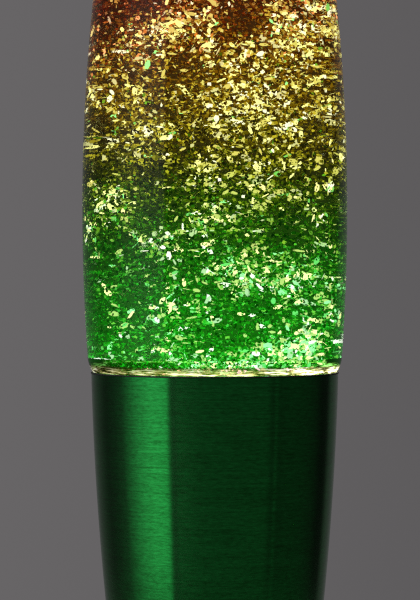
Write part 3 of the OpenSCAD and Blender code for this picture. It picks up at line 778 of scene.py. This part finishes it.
def pale_floor():
    """A pale round table top, its radius 0.36 m, that fades out towards its edge."""
    bpy.ops.mesh.primitive_circle_add(vertices=128, radius=0.36, fill_type="NGON", location=(0, 0, -0.0002))
    floor = bpy.context.object
    floor.name = "floor"
    mat, tree, shader = new_material("floor")
    set_values(shader, Roughness=0.7)
    grain = noise(tree, (240, 240, 240), 4.0)
    pale = ramp(tree, grain, [(0.3, (0.50, 0.49, 0.48)), (0.7, (0.55, 0.54, 0.53))])
    link(tree, pale, shader, "Base Color")
    out = node(tree, "ShaderNodeVectorMath", [(0, object_place(tree))], operation="LENGTH").outputs["Value"]
    link(tree, spread(tree, out, 0.15, 0.34, 1.0, 0.0), shader, "Alpha")
    floor.data.materials.append(mat)


# The greys of the studio round the lamp: 0 is straight behind it, 0.25 its left, 0.5 towards the camera and
# 0.75 its right. Shiny surfaces mirror a bright band on the left, and dark panels with a slit on the right.
MIRRORED = (
    (0.0, 0.11),
    (0.11, 0.07),
    (0.16, 0.035),
    (0.20, 0.06),
    (0.235, 0.12),
    (0.265, 0.42),
    (0.30, 0.85),
    (0.33, 1.18),
    (0.375, 1.12),
    (0.380, 0.10),
    (0.395, 0.10),
    (0.400, 0.19),
    (0.46, 0.135),
    (0.53, 0.115),
    (0.64, 0.105),
    (0.652, 0.05),
    (0.660, 0.05),
    (0.664, 0.17),
    (0.668, 0.05),
    (0.70, 0.065),
    (0.76, 0.055),
    (0.80, 0.035),
    (0.83, 0.012),
    (0.86, 0.012),
    (0.885, 0.075),
    (1.0, 0.11),
)
# What glass and liquid bend into view: the backdrop, dimmed as the finish on the far wall dims it.
BENT = ((0.0, 0.06), (0.10, 0.045), (0.16, 0.02), (0.75, 0.02), (0.83, 0.01), (0.89, 0.04), (1.0, 0.06))


def studio_world():
    """A plain grey backdrop. Shiny surfaces and glass see their own, darker studio."""
    world = bpy.data.worlds.new("studio")
    scene.world = world
    world.use_nodes = True
    tree = world.node_tree
    tree.nodes.clear()
    way = split(tree, node(tree, "ShaderNodeTexCoord").outputs["Generated"])
    across = spread(tree, way["X"], -0.12, 0.12, 0.0, 1.0)
    backdrop = ramp(tree, across, [(0.0, (0.137, 0.131, 0.134)), (1.0, (0.110, 0.105, 0.108))])
    bearing = math_node(tree, "ARCTAN2", way["X"], math_node(tree, "MULTIPLY", way["Y"], -1.0))
    turn = spread(tree, bearing, -math.pi, math.pi, 0.0, 1.0)
    around = ramp(tree, turn, [(at, (grey,) * 3) for at, grey in MIRRORED])
    bent = ramp(tree, turn, [(at, (grey,) * 3) for at, grey in BENT])
    upward = spread(tree, way["Z"], 0.55, 0.95, 0.0, 1.0)
    mirrored = mixed_colour(tree, upward, around, (0.45, 0.45, 0.45, 1.0))
    light = node(tree, "ShaderNodeLightPath").outputs
    seen = mixed_colour(tree, light["Is Glossy Ray"], backdrop, mirrored)
    seen = mixed_colour(tree, light["Is Transmission Ray"], seen, bent)
    sky = node(tree, "ShaderNodeBackground", [("Color", seen), ("Strength", 1.0)])
    node(tree, "ShaderNodeOutputWorld", [("Surface", sky.outputs[0])])


def softbox(name, bearing, radiance, half_width):
    """A tall area light at a bearing in degrees from the camera's side of the lamp, positive to its left."""
    distance, height, z = 0.9, 1.5, 0.35
    data = bpy.data.lights.new(name, "AREA")
    data.shape = "RECTANGLE"
    data.size = 2 * distance * math.tan(math.radians(half_width))
    data.size_y = height
    data.energy = radiance * math.pi * data.size * data.size_y
    data.color = (1.0, 0.985, 0.96)
    lamp = bpy.data.objects.new(name, data)
    way = Vector((-math.sin(math.radians(bearing)), -math.cos(math.radians(bearing)), 0))
    lamp.location = way * distance + Vector((0, 0, z))
    lamp.rotation_euler = (-way).to_track_quat("-Z", "Y").to_euler()
    lamp.visible_camera = False
    lamp.visible_transmission = False
    lamp.visible_glossy = False
    scene.collection.objects.link(lamp)


def place_camera():
    """Level with the lower part of the glass, 0.7 m away."""
    lens = bpy.data.cameras.new("camera")
    lens.lens = 112.4
    lens.sensor_width = 36.0
    lens.clip_start = 0.01
    camera = bpy.data.objects.new("camera", lens)
    camera.location = (-0.0018, -0.708, 0.1776)
    camera.rotation_euler = (math.pi / 2, 0, 0)
    scene.collection.objects.link(camera)
    scene.camera = camera


set_up_cycles()
metals = (
    brushed("green_metal", (0.003, 0.12, 0.014), (0.014, 0.31, 0.052), 0.17, 0.3, 0.3),
    brushed("bare_metal", (0.50, 0.50, 0.51), (0.68, 0.68, 0.70), 0.38, 0.12, 0.0),
)
make_base(metals)
make_cap(metals)
make_bottle()
make_flakes()
finish_cad_parts()
pale_floor()
studio_world()
softbox("key_inner", 60.0, 1.15, 19.0)
softbox("key_outer", 88.0, 0.75, 9.0)
place_camera()
